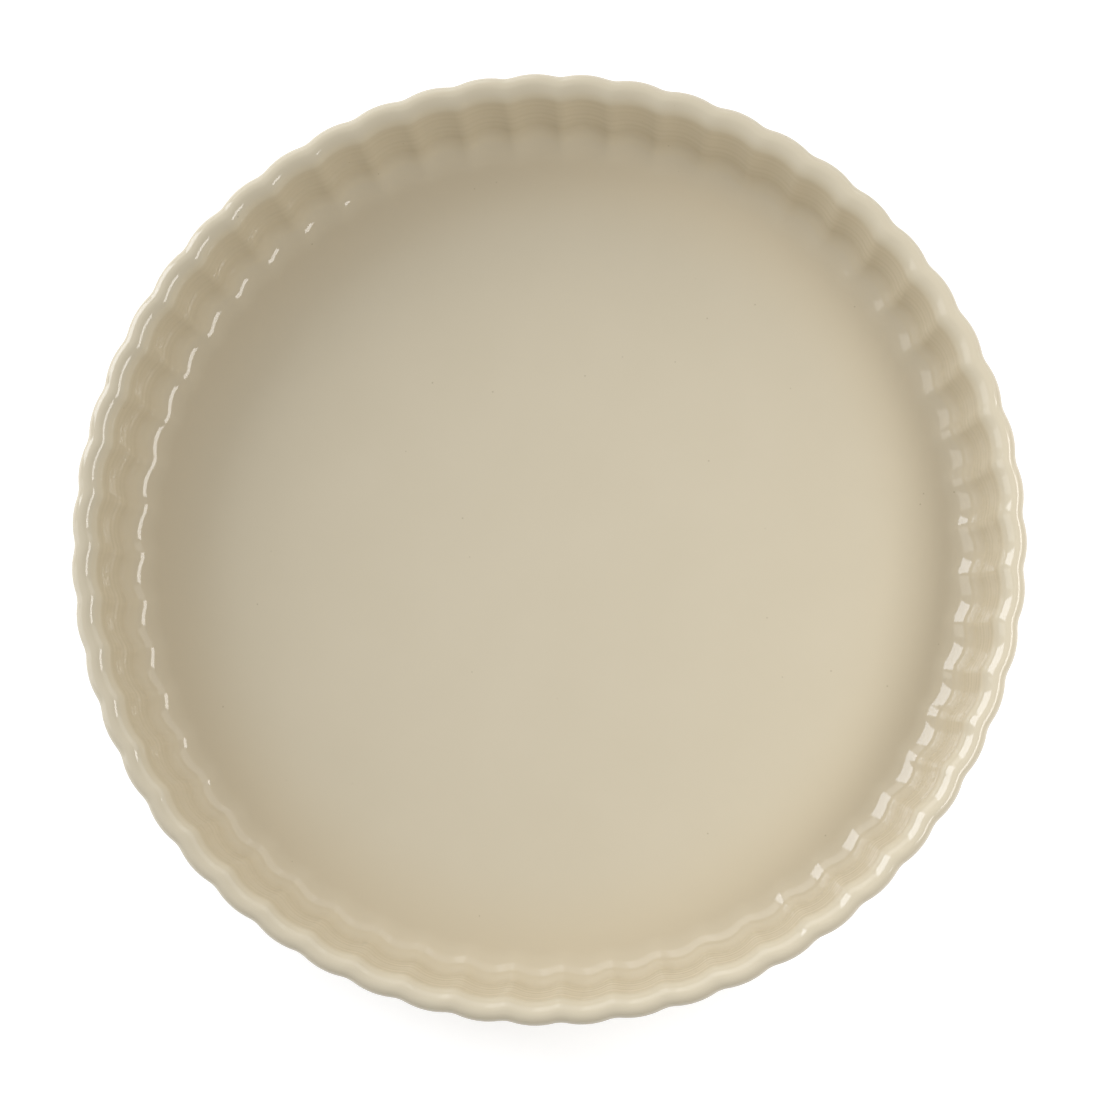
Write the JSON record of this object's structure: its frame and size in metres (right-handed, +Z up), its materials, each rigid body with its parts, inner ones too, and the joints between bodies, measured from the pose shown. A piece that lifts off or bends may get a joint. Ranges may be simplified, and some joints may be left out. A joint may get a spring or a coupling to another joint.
{
  "type": "fluted quiche dish",
  "caption": "Shallow round baking dish with a fluted wall, rounded scalloped lip and flat floor, glazed cream, standing on a bare foot ring.",
  "frame": {"origin": "centre of the foot ring's bearing plane, on the dish's axis", "axes": "+Z up along the dish's axis, out of its open top; +X through the top of one flute"},
  "size_m": [0.2997, 0.2998, 0.045],
  "materials": {
    "fired_stoneware": "bare, ground flat on the foot ring",
    "cream_glaze": "glossy cream glaze"
  },
  "bodies": {
    "root": {"clay_body": "fired_stoneware", "glaze_coat": "cream_glaze", "underside_glaze": "cream_glaze"}
  },
  "joints": []
}
